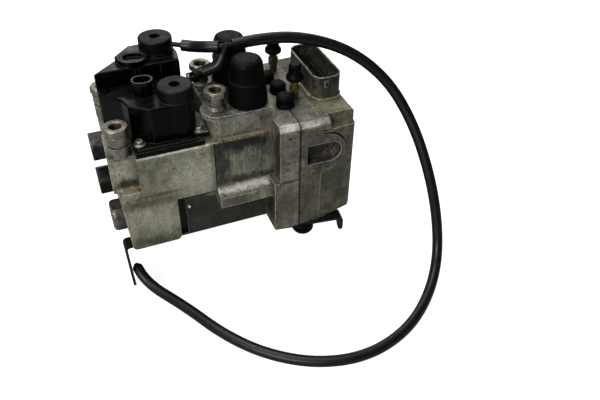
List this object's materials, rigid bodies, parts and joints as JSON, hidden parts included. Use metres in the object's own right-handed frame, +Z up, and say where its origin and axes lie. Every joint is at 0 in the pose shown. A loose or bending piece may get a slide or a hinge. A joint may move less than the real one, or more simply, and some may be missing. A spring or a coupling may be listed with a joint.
{
  "type": "abs brake module",
  "caption": "Brake pressure modulator: stacked aluminium blocks with two pump motors, twin fluid reservoirs, pipe ports, coil bay, control unit with plug socket, and a looped vent hose.",
  "frame": {"origin": "middle of the module's footprint, on the surface that it stands on, at the height of the left motor can's end and the two straps' long legs", "axes": "+X along the block, from the end plugs to the control unit; +Y to the back, away from the mounting ear; +Z up, out of the pipe ports"},
  "size_m": [0.2716, 0.2285, 0.2045],
  "materials": {
    "block_casting": "weathered cast and milled aluminium, stained brown",
    "dark_casting": "dark, corroded casting",
    "machined_plate": "milled aluminium, weathered",
    "unit_casting": "rough dull casting",
    "plated_steel": "zinc plated steel, dulled",
    "bare_steel": "ground steel",
    "black_rubber": "satin black rubber",
    "hose_rubber": "smooth satin black rubber hose",
    "tank_plastic": "moulded black plastic, dusty",
    "black_plastic": "moulded black plastic, dull",
    "black_paint": "black paint on steel, worn",
    "bleeder_brass": "tarnished brass",
    "pin_brass": "tinned brass pins",
    "coil_winding": "enamelled copper winding",
    "magnet_ferrite": "grey ferrite",
    "board_laminate": "green laminate",
    "float_plastic": "foamed plastic"
  },
  "bodies": {
    "module": {"left_valve_block": "block_casting", "lower_housing": "dark_casting", "middle_valve_block": "block_casting", "pump_plate": "machined_plate", "coil_bay": "machined_plate", "control_unit": "unit_casting", "circuit_board": "board_laminate", "connector_insert": "black_plastic", "connector_pins": "pin_brass", "left_bracket": "black_paint", "right_bracket": "black_paint", "flange_corner_plate": "machined_plate", "buffer_foot": "black_rubber", "left_motor_case": "plated_steel", "right_motor_case": "plated_steel", "motor_magnets": "magnet_ferrite", "pump_plugs": "plated_steel", "return_springs": "bare_steel", "upper_end_plug": "plated_steel", "lower_end_plug": "plated_steel", "piston_cover": "plated_steel", "port_front_left": "plated_steel", "port_rear_left": "plated_steel", "port_front_middle": "plated_steel", "port_rear_middle": "plated_steel", "front_rubber_cap": "black_rubber", "rear_rubber_cap": "black_rubber", "cap_spigots": "plated_steel", "blanking_caps": "black_rubber", "front_reservoir": "tank_plastic", "rear_reservoir": "tank_plastic", "front_reservoir_cap": "black_plastic", "rear_reservoir_cap": "black_plastic", "front_level_sensor": "black_plastic", "rear_level_sensor": "black_plastic", "reservoir_screws": "plated_steel", "valve_bodies": "bare_steel", "solenoid_coils": "coil_winding", "vent_tee": "black_plastic", "front_branch_hose": "hose_rubber", "rear_branch_hose": "hose_rubber", "vent_hose": "hose_rubber", "hose_end_plug": "black_rubber"},
    "left_armature": {"left_armature": "bare_steel"},
    "right_armature": {"right_armature": "bare_steel"},
    "left_pump_piston": {"left_pump_piston": "bare_steel"},
    "right_pump_piston": {"right_pump_piston": "bare_steel"},
    "upper_control_piston": {"upper_control_piston": "bare_steel"},
    "lower_control_piston": {"lower_control_piston": "bare_steel"},
    "front_float": {"front_float": "float_plastic"},
    "rear_float": {"rear_float": "float_plastic"},
    "front_bleed_screw": {"front_bleed_screw": "bleeder_brass"},
    "rear_bleed_screw": {"rear_bleed_screw": "bleeder_brass"},
    "front_bleed_cap": {"front_bleed_cap": "black_rubber"},
    "rear_bleed_cap": {"rear_bleed_cap": "black_rubber"},
    "front_lower_plunger": {"front_lower_plunger": "bare_steel"},
    "front_upper_plunger": {"front_upper_plunger": "bare_steel"},
    "rear_lower_plunger": {"rear_lower_plunger": "bare_steel"},
    "rear_upper_plunger": {"rear_upper_plunger": "bare_steel"}
  },
  "joints": [
    {"name": "left_armature_spin", "type": "hinge", "parent": "module", "child": "left_armature", "pos_m": [-0.01775, 0.03467, 0.046], "axis": [0, 0, 1], "continuous": true},
    {"name": "left_pump_stroke", "type": "slide", "parent": "module", "child": "left_pump_piston", "axis": [0, 1, 0], "range_m": [0, 0.0016], "stiffness_N_per_m": 1000, "springref_m": -0.001},
    {"name": "right_armature_spin", "type": "hinge", "parent": "module", "child": "right_armature", "pos_m": [0.04125, 0.01867, 0.046], "axis": [0, 0, 1], "continuous": true},
    {"name": "right_pump_stroke", "type": "slide", "parent": "module", "child": "right_pump_piston", "axis": [0, 1, 0], "range_m": [0, 0.0016], "stiffness_N_per_m": 1000, "springref_m": -0.001},
    {"name": "upper_control_stroke", "type": "slide", "parent": "module", "child": "upper_control_piston", "axis": [-1, 0, 0], "range_m": [0, 0.005], "stiffness_N_per_m": 800, "springref_m": -0.002},
    {"name": "lower_control_stroke", "type": "slide", "parent": "module", "child": "lower_control_piston", "axis": [-1, 0, 0], "range_m": [0, 0.005], "stiffness_N_per_m": 800, "springref_m": -0.002},
    {"name": "front_lower_valve_lift", "type": "slide", "parent": "module", "child": "front_lower_plunger", "axis": [1, 0, 0], "range_m": [0, 0.0005], "stiffness_N_per_m": 800, "springref_m": -0.0005},
    {"name": "front_upper_valve_lift", "type": "slide", "parent": "module", "child": "front_upper_plunger", "axis": [1, 0, 0], "range_m": [0, 0.0005], "stiffness_N_per_m": 800, "springref_m": -0.0005},
    {"name": "rear_lower_valve_lift", "type": "slide", "parent": "module", "child": "rear_lower_plunger", "axis": [1, 0, 0], "range_m": [0, 0.0005], "stiffness_N_per_m": 800, "springref_m": -0.0005},
    {"name": "rear_upper_valve_lift", "type": "slide", "parent": "module", "child": "rear_upper_plunger", "axis": [1, 0, 0], "range_m": [0, 0.0005], "stiffness_N_per_m": 800, "springref_m": -0.0005},
    {"name": "front_float_rise", "type": "slide", "parent": "module", "child": "front_float", "axis": [0, 0, 1], "range_m": [0, 0.014]},
    {"name": "front_bleed_turn", "type": "hinge", "parent": "module", "child": "front_bleed_screw", "pos_m": [0.06265, -0.00973, 0.1487], "axis": [0, 0, 1], "range_deg": [0, 270]},
    {"name": "front_bleed_cap_lift", "type": "slide", "parent": "front_bleed_screw", "child": "front_bleed_cap", "axis": [0, 0, 1], "range_m": [0, 0.012]},
    {"name": "rear_float_rise", "type": "slide", "parent": "module", "child": "rear_float", "axis": [0, 0, 1], "range_m": [0, 0.014]},
    {"name": "rear_bleed_turn", "type": "hinge", "parent": "module", "child": "rear_bleed_screw", "pos_m": [0.06295, 0.03967, 0.1487], "axis": [0, 0, 1], "range_deg": [0, 270]},
    {"name": "rear_bleed_cap_lift", "type": "slide", "parent": "rear_bleed_screw", "child": "rear_bleed_cap", "axis": [0, 0, 1], "range_m": [0, 0.012]}
  ]
}
